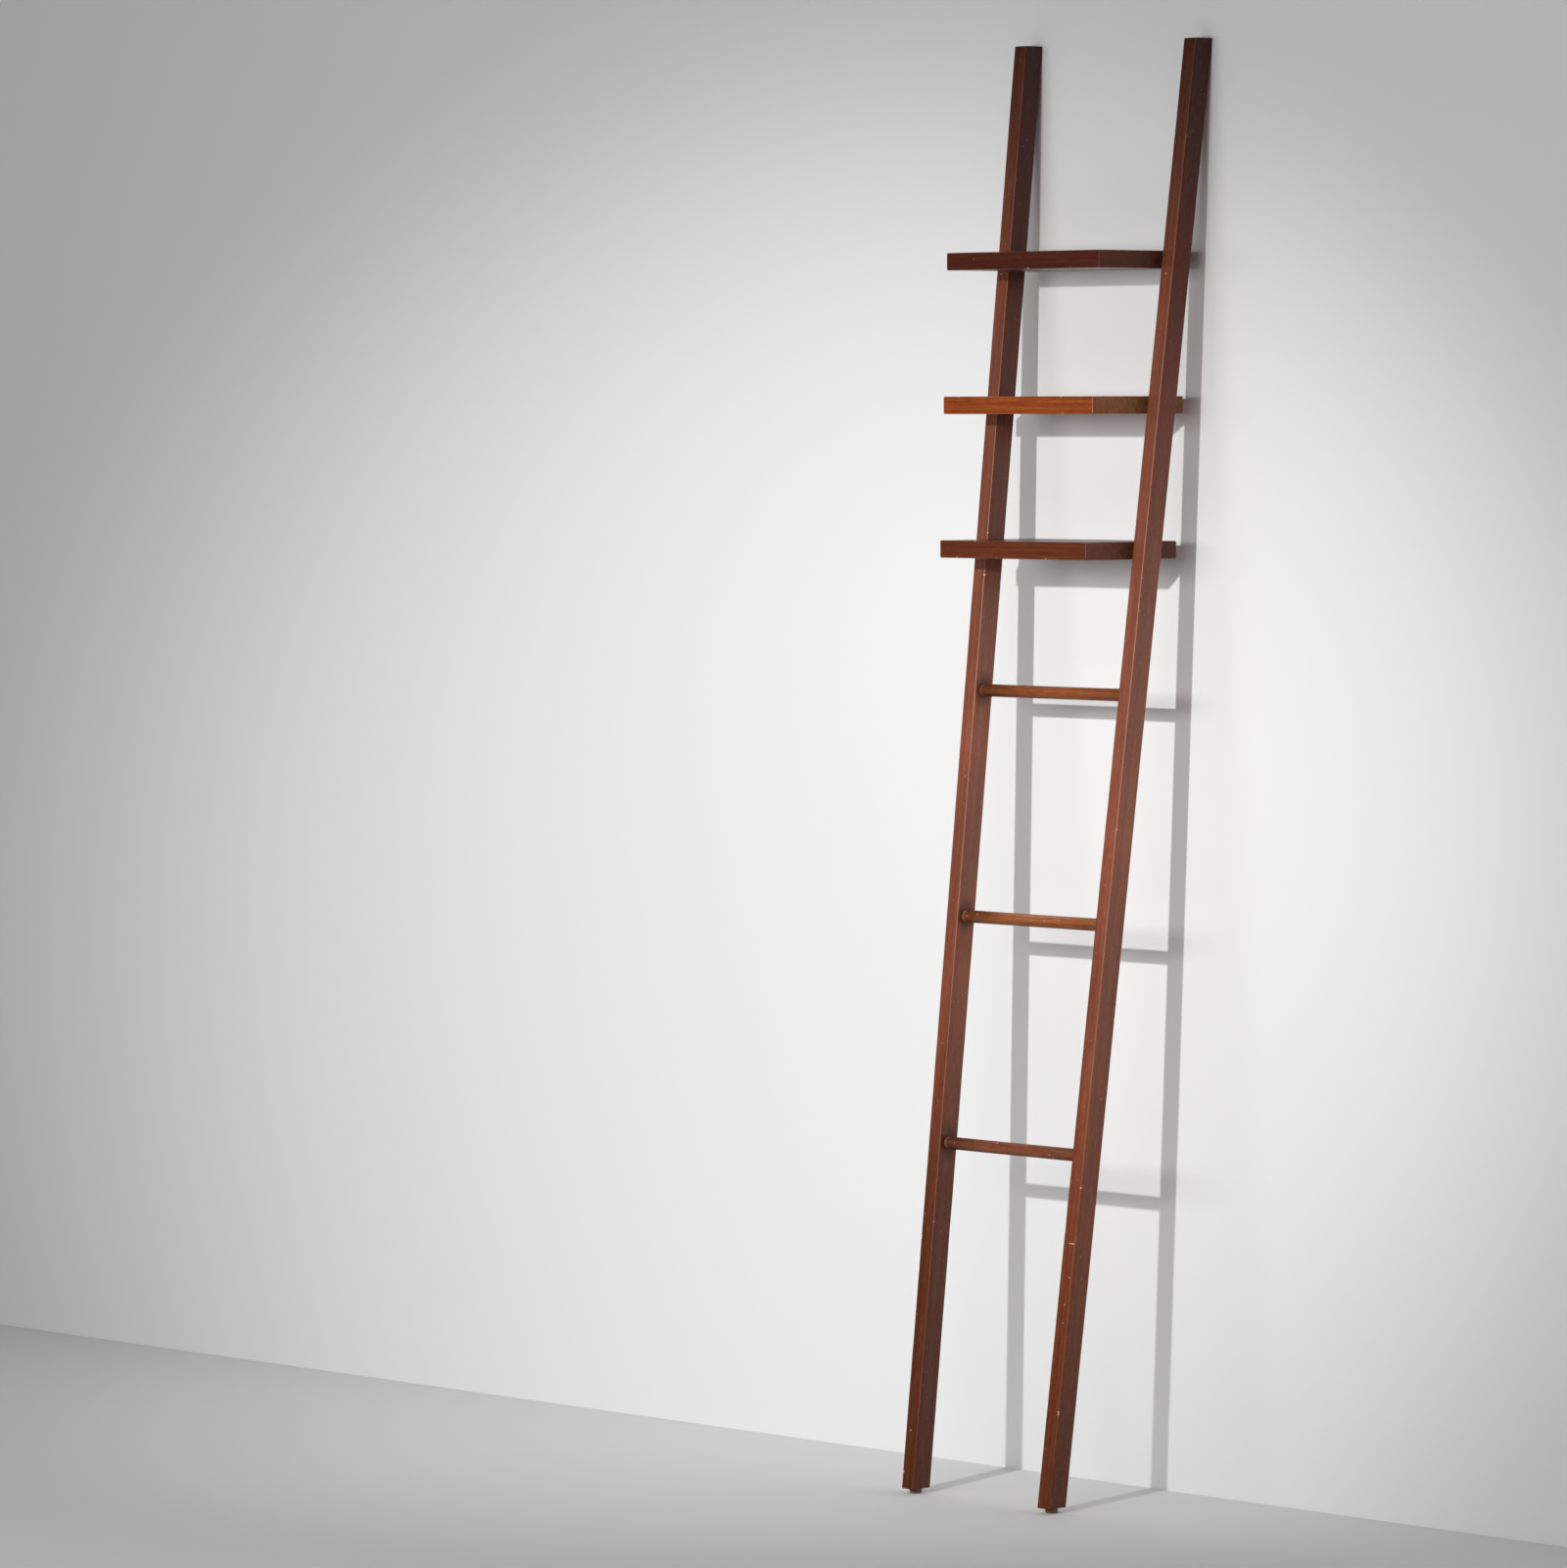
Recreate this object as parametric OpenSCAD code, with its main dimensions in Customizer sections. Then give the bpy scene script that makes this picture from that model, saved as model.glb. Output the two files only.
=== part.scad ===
// Leaning library ladder: two tapering stiles carry three turned rungs below and three deep
// shelves above. It stands on two nail-on glides and leans its plumb-cut tops against a wall.
// Millimetres. +Z is up, the ladder is entered from -Y and the wall stands at +Y.
// The origin lies on the floor, midway between the stiles and midway between front and wall.

/* [Ladder] */
// Height of the level-cut stile tops above the floor
ladder_h = 2275; // [1850:5:2750]
// Lean of the stiles back towards the wall, from plumb
lean = 7.25; // [6:0.05:9]
// Clear gap between the stiles, measured at the floor
foot_gap = 275; // [220:1:340]
// Outward splay of each stile, from plumb
splay = 0.9; // [0:0.05:1.4]

/* [Stiles] */
// Width of a stile, seen from the front
stile_w = 26; // [22:0.5:34]
// Depth of a stile, square to its length
stile_d = 38; // [32:0.5:48]
// Radius of the four long eased edges
stile_edge_r = 2; // [0.5:0.1:4]
// Depth of the plumb flat cut on the back of each top, which bears on the wall
wall_flat_d = 2; // [1:0.1:5]

/* [Rungs] */
// Diameter of a rung
rung_d = 20; // [18:0.5:28]
// Height from the top rung's centre up to the lowest shelf's centre
rung_to_shelf = 224; // [150:1:300]
// Height from one rung to the next; the step below the lowest rung is what is left
rung_pitch = 355; // [280:1:430]
// Bevel on each rung shoulder
rung_bevel = 1; // [0.5:0.1:1.5]
// Diameter of the turned tenon on each rung end
tenon_d = 14; // [10:0.5:15]
// Length of the tenon past the stile's inner face
tenon_l = 15; // [10:0.5:18]

/* [Shelves] */
// Depth of a shelf, front to back
shelf_d = 200; // [150:1:240]
// Thickness of a shelf
shelf_t = 27.5; // [20:0.5:36]
// Radius of the eased front and back edges
shelf_edge_r = 2.5; // [0.5:0.1:6]
// Height from the top shelf's centre up to the stile tops
top_rise = 343; // [250:1:450]
// Height from one shelf to the next
shelf_pitch = 225; // [160:1:280]
// Gap between the top shelf's back edge and the wall
top_shelf_gap = 17.5; // [5:0.5:30]
// How much further each lower shelf stands from the wall
shelf_step = 11.2; // [5:0.1:20]

/* [Shelf dowels] */
// Diameter of a shelf dowel
dowel_d = 8; // [6:0.5:10]
// Length of a shelf dowel, half of it in the stile
dowel_l = 30; // [20:1:34]
// Spacing of the two dowels in each shelf end
dowel_pitch = 16; // [13:0.5:20]
// Bevel on the dowel ends
dowel_bevel = 0.8; // [0.3:0.1:1.5]

/* [Glides] */
// Diameter of a glide
glide_d = 20; // [18:0.5:24]
// Height of a glide, from the floor to the stile's foot
glide_h = 8; // [6:0.5:12]
// Radius of the glide's lower edge
glide_edge_r = 2.5; // [1:0.1:4]
// Diameter of the glide nail's shank
nail_d = 2.5; // [2:0.1:3.5]
// Length of the nail in the stile
nail_bite = 18; // [12:0.5:24]
// Length of the nail's point
nail_point_l = 4; // [2:0.5:6]
// Diameter of the nail's head
nail_head_d = 8; // [6:0.5:11]
// Thickness of the nail's head
nail_head_t = 1.2; // [0.8:0.1:2]
// Plastic left under the nail's head
glide_sole_t = 2.5; // [1.5:0.1:4]

/* [Fits] */
// Glue gap around a tenon or a dowel, on the radius
glue_gap = 0.1; // [0.05:0.01:0.2]
// Gap between a shelf end or a rung shoulder and the stile
end_gap = 0.1; // [0.05:0.01:0.2]
// Spare depth at the bottom of each blind hole
hole_spare = 1; // [0.5:0.1:2]
// Gap around the glide nail, on the radius
nail_gap = 0.05; // [0.02:0.01:0.1]

/* [Hidden] */
$fn = 48;

// A blind hole's cutter starts this far outside the face that it enters.
cut_over = 2;

// Horizontal run of a stile towards the wall and outwards, for each unit of height
lean_run = tan(lean) / cos(splay);
splay_run = tan(splay);

// The stile's section where a level plane cuts it
level_d = stile_d / cos(lean);
level_w = stile_w / cos(splay);

// The floor plan is centred between the foot's front and the wall.
plan_d = (ladder_h - glide_h) * lean_run + level_d - wall_flat_d;
wall_y = plan_d / 2;
foot_y = -plan_d / 2 + level_d / 2 - glide_h * lean_run;

// Half the clear gap between the stiles, and the stile's centre, at height z
function inner_x(z) = foot_gap / 2 + z * splay_run;
function stile_x(z) = inner_x(z) + level_w / 2;
function stile_y(z) = foot_y + z * lean_run;

// Rungs and shelves count upwards: 0, 1 and 2. Their heights are set out from the top down.
function shelf_z(i) = ladder_h - top_rise - (2 - i) * shelf_pitch;
function rung_z(i) = shelf_z(0) - rung_to_shelf - (2 - i) * rung_pitch;
function shelf_back_y(i) = wall_y - top_shelf_gap - (2 - i) * shelf_step;
function dowel_y(i, side) = stile_y(shelf_z(i)) + side * dowel_pitch / 2;

stile_colour = "#5b2f24";
rung_colour = "#7a4527";
shelf_colour = "#6b3622";
dowel_colour = "#c9a26b";
glide_colour = "#4a3428";
nail_colour = "#8d8f92";

// Rectangle with round corners, built from whole squares and circles so that each corner
// becomes a true cylinder when it is extruded.
module eased_rectangle(w, d, r) {
    square([w - 2 * r, d], center = true);
    square([w, d - 2 * r], center = true);
    for (sx = [-1, 1], sy = [-1, 1])
        translate([sx * (w / 2 - r), sy * (d / 2 - r)])
            circle(r = r);
}

// Round piece turned about X from half its outline: a list of [radius, x], from the middle out
// to the end. The other half is its mirror image.
module turned(half_outline) {
    last = len(half_outline) - 1;
    mirrored = [for (i = [last:-1:0]) [half_outline[i][0], -half_outline[i][1]]];
    rotate([0, 90, 0])
        rotate_extrude()
            polygon(concat(half_outline, mirrored));
}

// Blind hole along X in the right stile: depth is measured from the inner face at height z.
module stile_hole(d, depth, y, z) {
    translate([inner_x(z) - cut_over, y, z])
        rotate([0, 90, 0])
            cylinder(d = d, h = depth + cut_over);
}

// Everything between the two inner faces, less a gap at each of them
module between_stiles(gap) {
    foot_x = inner_x(0) - gap;
    top_x = inner_x(ladder_h) - gap;
    rotate([90, 0, 0])
        linear_extrude(height = 2 * plan_d, center = true)
            polygon([[-foot_x, 0], [foot_x, 0], [top_x, ladder_h], [-top_x, ladder_h]]);
}

// The right stile before drilling: an eased bar, cut level at the foot and at the top, and
// plumb where it meets the wall.
module stile_blank() {
    blank_l = ladder_h / cos(lean) + 2 * stile_d;
    intersection() {
        translate([stile_x(0), foot_y, 0])
            rotate([-lean, splay, 0])
                translate([0, 0, -stile_d])
                    linear_extrude(height = blank_l)
                        eased_rectangle(stile_w, stile_d, stile_edge_r);
        translate([0, wall_y - 2 * plan_d, glide_h])
            cube([2 * foot_gap, 2 * plan_d, ladder_h - glide_h]);
    }
}

// Nail in the middle of the right foot, its head inside the glide. grow widens it into the
// shape of the space that it fills.
module glide_nail_shape(grow) {
    head_r = nail_head_d / 2 + grow;
    shank_r = nail_d / 2 + grow;
    head_z = glide_sole_t - grow;
    shank_z = glide_sole_t + nail_head_t + grow;
    tip_z = glide_h + nail_bite + grow;
    translate([stile_x(glide_h), stile_y(glide_h), 0])
        rotate_extrude()
            polygon([[0, head_z], [head_r, head_z], [head_r, shank_z], [shank_r, shank_z],
                     [shank_r, tip_z - nail_point_l], [shank_r / 8, tip_z], [0, tip_z]]);
}

module right_stile() {
    color(stile_colour)
        difference() {
            stile_blank();
            for (i = [0:2])
                stile_hole(tenon_d + 2 * glue_gap, tenon_l + hole_spare, stile_y(rung_z(i)), rung_z(i));
            for (i = [0:2], side = [-1, 1])
                stile_hole(dowel_d + 2 * glue_gap, dowel_l / 2 + hole_spare,
                           dowel_y(i, side), shelf_z(i));
            glide_nail_shape(nail_gap);
        }
}

module left_stile() {
    mirror([1, 0, 0])
        right_stile();
}

// One rung, turned in one piece with the tenon at each end. Its bevelled shoulders stop at
// the stiles.
module rung(i) {
    z = rung_z(i);
    rung_r = rung_d / 2;
    tenon_r = tenon_d / 2;
    // The stiles close in downwards, so the shoulder's lowest point meets them first.
    shoulder_x = inner_x(z - rung_r) - end_gap;
    end_x = inner_x(z) + tenon_l;
    color(rung_colour)
        translate([0, stile_y(z), z])
            turned([[rung_r, shoulder_x - rung_bevel], [rung_r - rung_bevel, shoulder_x],
                    [tenon_r, shoulder_x], [tenon_r, end_x - rung_bevel],
                    [tenon_r - rung_bevel, end_x], [0, end_x]]);
}

// One shelf: a board with eased long edges, its ends bevelled to the splay and drilled
module shelf(i) {
    z = shelf_z(i);
    hole_l = dowel_l / 2 + hole_spare;
    color(shelf_colour)
        difference() {
            intersection() {
                translate([0, shelf_back_y(i) - shelf_d / 2, z])
                    rotate([90, 0, 90])
                        linear_extrude(height = 2 * inner_x(ladder_h), center = true)
                            eased_rectangle(shelf_d, shelf_t, shelf_edge_r);
                between_stiles(end_gap);
            }
            for (end = [0, 1], side = [-1, 1])
                mirror([end, 0, 0])
                    translate([inner_x(z) - hole_l, dowel_y(i, side), z])
                        rotate([0, 90, 0])
                            cylinder(d = dowel_d + 2 * glue_gap, h = hole_l + cut_over);
        }
}

// The four dowels of one shelf, two in each end
module shelf_dowels(i) {
    z = shelf_z(i);
    dowel_r = dowel_d / 2;
    color(dowel_colour)
        for (end = [-1, 1], side = [-1, 1])
            translate([end * inner_x(z), dowel_y(i, side), z])
                turned([[dowel_r, dowel_l / 2 - dowel_bevel], [dowel_r - dowel_bevel, dowel_l / 2],
                        [0, dowel_l / 2]]);
}

// Glide under the right foot: a flat-topped button with a round lower edge, moulded round
// the nail's head
module right_glide() {
    color(glide_colour)
        difference() {
            translate([stile_x(glide_h), stile_y(glide_h), 0])
                rotate_extrude() {
                    square([glide_d / 2 - glide_edge_r, glide_h]);
                    translate([0, glide_edge_r])
                        square([glide_d / 2, glide_h - glide_edge_r]);
                    translate([glide_d / 2 - glide_edge_r, glide_edge_r])
                        circle(r = glide_edge_r);
                }
            glide_nail_shape(nail_gap);
        }
}

module left_glide() {
    mirror([1, 0, 0])
        right_glide();
}

module right_glide_nail() {
    color(nail_colour)
        glide_nail_shape(0);
}

module left_glide_nail() {
    mirror([1, 0, 0])
        right_glide_nail();
}

left_stile();
right_stile();
rung(0);  // lower_rung
rung(1);  // middle_rung
rung(2);  // upper_rung
shelf(0);  // lower_shelf
shelf(1);  // middle_shelf
shelf(2);  // upper_shelf
shelf_dowels(0);  // lower_shelf_dowels
shelf_dowels(1);  // middle_shelf_dowels
shelf_dowels(2);  // upper_shelf_dowels
left_glide();
right_glide();
left_glide_nail();
right_glide_nail();
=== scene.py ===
"""Looks of a library ladder that leans on a wall.

The ladder is red-brown stained hardwood under a rubbed satin lacquer: two leaning stiles, three
turned rungs and three deep shelves, on a plastic glide under each foot. Sizes and places come
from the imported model. Lengths are in metres, unless a name ends in _mm.
"""

from __future__ import annotations

import logging
import math
import random
from dataclasses import dataclass, field
from enum import Enum
from typing import Sequence, TypeAlias

import bmesh
import bpy
from mathutils import Euler, Matrix, Vector, noise


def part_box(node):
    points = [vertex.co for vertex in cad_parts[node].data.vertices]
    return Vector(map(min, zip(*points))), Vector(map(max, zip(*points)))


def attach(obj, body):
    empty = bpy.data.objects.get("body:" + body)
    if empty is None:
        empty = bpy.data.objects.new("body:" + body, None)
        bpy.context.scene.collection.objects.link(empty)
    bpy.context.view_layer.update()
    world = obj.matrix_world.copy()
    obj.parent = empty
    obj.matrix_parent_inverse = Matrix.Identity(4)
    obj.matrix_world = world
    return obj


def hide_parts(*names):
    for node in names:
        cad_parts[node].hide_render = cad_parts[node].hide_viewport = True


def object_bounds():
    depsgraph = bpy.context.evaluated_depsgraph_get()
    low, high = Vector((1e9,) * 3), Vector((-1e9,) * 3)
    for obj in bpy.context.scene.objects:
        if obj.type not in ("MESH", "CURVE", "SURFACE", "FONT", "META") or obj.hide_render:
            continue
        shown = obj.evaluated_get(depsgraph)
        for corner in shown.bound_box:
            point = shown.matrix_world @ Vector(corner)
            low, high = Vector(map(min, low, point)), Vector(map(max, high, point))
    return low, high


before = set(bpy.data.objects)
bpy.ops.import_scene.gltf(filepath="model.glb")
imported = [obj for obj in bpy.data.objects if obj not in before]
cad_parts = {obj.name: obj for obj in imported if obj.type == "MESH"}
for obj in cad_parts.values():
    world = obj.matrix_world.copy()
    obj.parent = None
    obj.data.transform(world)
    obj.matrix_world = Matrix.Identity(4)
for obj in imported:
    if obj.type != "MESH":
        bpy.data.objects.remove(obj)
CAD_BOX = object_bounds()

Object: TypeAlias = bpy.types.Object
Material: TypeAlias = bpy.types.Material
Socket: TypeAlias = bpy.types.NodeSocket
BMesh: TypeAlias = bmesh.types.BMesh
BMEdge: TypeAlias = bmesh.types.BMEdge
# A shader value: a socket to link, a number, or a vector or colour to set
Value: TypeAlias = "Socket | float | Sequence[float] | str"

LOG = logging.getLogger("ladder")
MM = 0.001
BODY = "root"
# How near to a direction a face has to look, and how close vertices are to be one or on a cut
LEVEL_FACE = 0.9995
WELD = 1e-6
ON_CUT = 1e-7
SHARP_DEG = 40
FACETS = 64
WHITE = (1, 1, 1, 1)
# Where nearly all of a noise's values lie, and how strongly lacquer and plastic bend light
NOISE_SPAN = (0.3, 0.7)
GLOSS_IOR = 1.5

# Attributes that the meshes carry for the wood's finish, each from 0 to 1
WEAR = "wear"
BARE = "bare"
END_GRAIN = "end_grain"
# Painted shade in corners and round the joints
JOINT_SHADE = "joint_shade"


class Side(Enum):
    """Which stile, as the sign of its X."""

    LEFT = -1
    RIGHT = 1


class Level(Enum):
    """Which rung or shelf, counted upwards."""

    LOWER = 0
    MIDDLE = 1
    UPPER = 2


class Named:
    """A piece of the ladder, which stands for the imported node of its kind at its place."""

    kind = ""
    where: Side | Level

    @property
    def name(self) -> str:
        """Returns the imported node's name."""
        return f"{self.where.name.lower()}_{self.kind}"


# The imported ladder's sizes
# -------------------------


def box_centre(node_name: str) -> Vector:
    """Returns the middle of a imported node's box."""
    low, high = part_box(node_name)
    return (low + high) / 2


@dataclass(frozen=True)
class Layout:
    """The ladder's driving sizes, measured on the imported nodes."""

    lean_run: float
    splay_run: float
    foot_z: float
    top_z: float
    wall_y: float
    foot_inner_x: float
    stile_w: float
    stile_d: float
    rung_start: Vector

    @classmethod
    def measure(cls) -> Layout:
        """Reads the sizes from the boxes of the rungs, the shelves and the right stile.

        Returns:
            The layout that every piece is built from.
        """
        low_rung, top_rung = box_centre("lower_rung"), box_centre("upper_rung")
        low_shelf, top_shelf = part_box("lower_shelf")[1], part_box("upper_shelf")[1]
        stile_low, stile_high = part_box("right_stile")
        lean_run = (top_rung.y - low_rung.y) / (top_rung.z - low_rung.z)
        splay_run = (top_shelf.x - low_shelf.x) / (top_shelf.z - low_shelf.z)
        foot_inner_x = stile_low.x
        top_inner_x = foot_inner_x + (stile_high.z - stile_low.z) * splay_run
        foot_y = low_rung.y + (stile_low.z - low_rung.z) * lean_run
        return cls(
            lean_run=lean_run,
            splay_run=splay_run,
            foot_z=stile_low.z,
            top_z=stile_high.z,
            wall_y=stile_high.y,
            foot_inner_x=foot_inner_x,
            stile_w=(stile_high.x - top_inner_x) * math.cos(math.atan(splay_run)),
            stile_d=2 * (foot_y - stile_low.y) * math.cos(math.atan(lean_run)),
            rung_start=low_rung,
        )

    @property
    def splay(self) -> float:
        """Returns the stile's outward splay, in radians."""
        return math.atan(self.splay_run)

    @property
    def lean(self) -> float:
        """Returns the stile's lean about X, in radians, before it is splayed."""
        return math.atan(self.lean_run * math.cos(self.splay))

    def inner_x(self, z: float) -> float:
        """Returns half the clear gap between the stiles at height z."""
        return self.foot_inner_x + (z - self.foot_z) * self.splay_run

    def stile_x(self, z: float) -> float:
        """Returns the distance from the middle plane to a stile's centre at height z."""
        return self.inner_x(z) + self.stile_w / 2 / math.cos(self.splay)

    def stile_y(self, z: float) -> float:
        """Returns the Y of the stiles' centre at height z."""
        return self.rung_start.y + (z - self.rung_start.z) * self.lean_run

    def stile_place(self, side: Side) -> Matrix:
        """Places a stile.

        Args:
            side: which one.

        Returns:
            The matrix from its own axes, Z along it, to the ladder's.
        """
        foot = Vector((side.value * self.stile_x(0), self.stile_y(0), 0))
        turn = Euler((-self.lean, side.value * self.splay, 0))
        return Matrix.Translation(foot) @ turn.to_matrix().to_4x4()


# Shader nodes
# ------------


def linear_rgba(hex_colour: str) -> tuple[float, float, float, float]:
    """Turns an sRGB colour into a linear one.

    Args:
        hex_colour: six hex digits after a number sign.

    Returns:
        Linear red, green and blue, and an alpha of 1.
    """
    parts = [int(hex_colour[i : i + 2], 16) / 255 for i in (1, 3, 5)]
    red, green, blue = (c / 12.92 if c <= 0.04045 else ((c + 0.055) / 1.055) ** 2.4 for c in parts)
    return red, green, blue, 1.0


def add_node(
    tree: bpy.types.NodeTree, kind: str, inputs: dict | None = None, **settings: object
) -> bpy.types.Node:
    """Adds one shader node.

    Args:
        tree: the material's or the world's node tree.
        kind: the node's type, without the leading ShaderNode.
        inputs: input name or number to a socket to link, a value to set, or a hex colour.
        settings: properties of the node itself.

    Returns:
        The new node.
    """
    node = tree.nodes.new("ShaderNode" + kind)
    for name, value in settings.items():
        setattr(node, name, value)
    for key, value in (inputs or {}).items():
        if isinstance(value, Socket):
            tree.links.new(value, node.inputs[key])
        else:
            value = linear_rgba(value) if isinstance(value, str) else value
            node.inputs[key].default_value = value
    return node


@dataclass
class Shading:
    """A material under construction: its tree, and short ways to the nodes that it repeats."""

    name: str
    material: Material = field(init=False)

    def __post_init__(self) -> None:
        """Makes an empty node material."""
        self.material = bpy.data.materials.new(self.name)
        self.material.use_nodes = True
        self.material.node_tree.nodes.clear()

    def add(self, kind: str, inputs: dict | None = None, **settings: object) -> bpy.types.Node:
        """Adds a node to this material; see add_node."""
        return add_node(self.material.node_tree, kind, inputs, **settings)

    def blend(self, amount: Value, first: Value, second: Value, mode: str = "MIX") -> Socket:
        """Mixes two colours by an amount from 0 to 1, and returns the mixed colour."""
        mix = self.add("Mix", {0: amount, 6: first, 7: second}, data_type="RGBA", blend_type=mode)
        return mix.outputs[2]

    def tint(self, colour: Value, tone: Value) -> Socket:
        """Multiplies a colour by a tone or by another colour, and returns the result."""
        return self.blend(1.0, colour, tone, "MULTIPLY")

    def remap(
        self, value: Value, low: float, high: float, to_low: float = 0.0, to_high: float = 1.0
    ) -> Socket:
        """Maps a value's range from low to high onto another range, clamped."""
        span = {0: value, 1: low, 2: high, 3: to_low, 4: to_high}
        return self.add("MapRange", span, clamp=True).outputs[0]

    def sum(self, first: Value, second: Value, how: str = "ADD") -> Socket:
        """Joins two numbers by a Math operation, and returns the result."""
        return self.add("Math", {0: first, 1: second}, operation=how).outputs[0]

    def times(self, first: Value, second: Value) -> Socket:
        """Multiplies two numbers, and returns the result."""
        return self.sum(first, second, "MULTIPLY")

    def combine(self, first: Value, second: Value, how: str) -> Socket:
        """Joins two vectors by a Vector Math operation, and returns the result."""
        return self.add("VectorMath", {0: first, 1: second}, operation=how).outputs[0]

    def place(self) -> Socket:
        """Returns each place in the object's axes."""
        return self.add("TexCoord").outputs["Object"]

    def axis(self, vector: Value, name: str) -> Socket:
        """Returns a vector's X, Y or Z."""
        return self.add("SeparateXYZ", {0: vector}).outputs[name]

    def facing(self, name: str) -> Socket:
        """Returns how far each place looks along X, Y or Z."""
        return self.axis(self.add("NewGeometry").outputs["Normal"], name)

    def mark(self, name: str) -> Socket:
        """Returns an attribute that the mesh carries."""
        return self.add("Attribute", attribute_name=name).outputs["Fac"]

    def bump(self, height: Value, depth_mm: float, strength: float) -> Socket:
        """Returns the normal of a surface that a height raises."""
        relief = {"Height": height, "Distance": depth_mm * MM, "Strength": strength}
        return self.add("Bump", relief).outputs[0]

    def noise(
        self, point: Socket, size_mm: Sequence[float], detail: float = 3, rough: float = 0.55
    ) -> Socket:
        """Adds noise, from 0 to 1 with a mean of a half.

        Args:
            point: the place to look it up at.
            size_mm: how long its features are on each axis.
            detail: how many finer layers it has.
            rough: how strong those are.

        Returns:
            The noise.
        """
        per_metre = [1 / (MM * size) for size in size_mm]
        scaled = self.combine(point, per_metre, "MULTIPLY")
        grain = {"Vector": scaled, "Scale": 1.0, "Detail": detail, "Roughness": rough}
        return self.add("TexNoise", grain, normalize=True).outputs[0]

    def finish(self, surface: dict) -> Material:
        """Closes the material with a Principled surface.

        Args:
            surface: the surface's inputs.

        Returns:
            The material.
        """
        shader = self.add("BsdfPrincipled", surface)
        self.add("OutputMaterial", {0: shader.outputs[0]})
        return self.material


# Finishes
# --------


@dataclass(frozen=True)
class Spot:
    """One marked place, as an ellipsoid: a knock through to pale wood, or painted shade round a joint.

    at is in the piece's own grain axes, in metres, and radii_mm is along the same axes.
    """

    at: tuple[float, float, float]
    radii_mm: tuple[float, float, float]


@dataclass(frozen=True)
class Stain:
    """The stained wood's colours, from the darkest streaks to the palest, and where it is rubbed."""

    deep: str = "#662f1f"
    red: str = "#89442d"
    warm: str = "#9d5b39"
    rubbed: str = "#a8714c"


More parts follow.
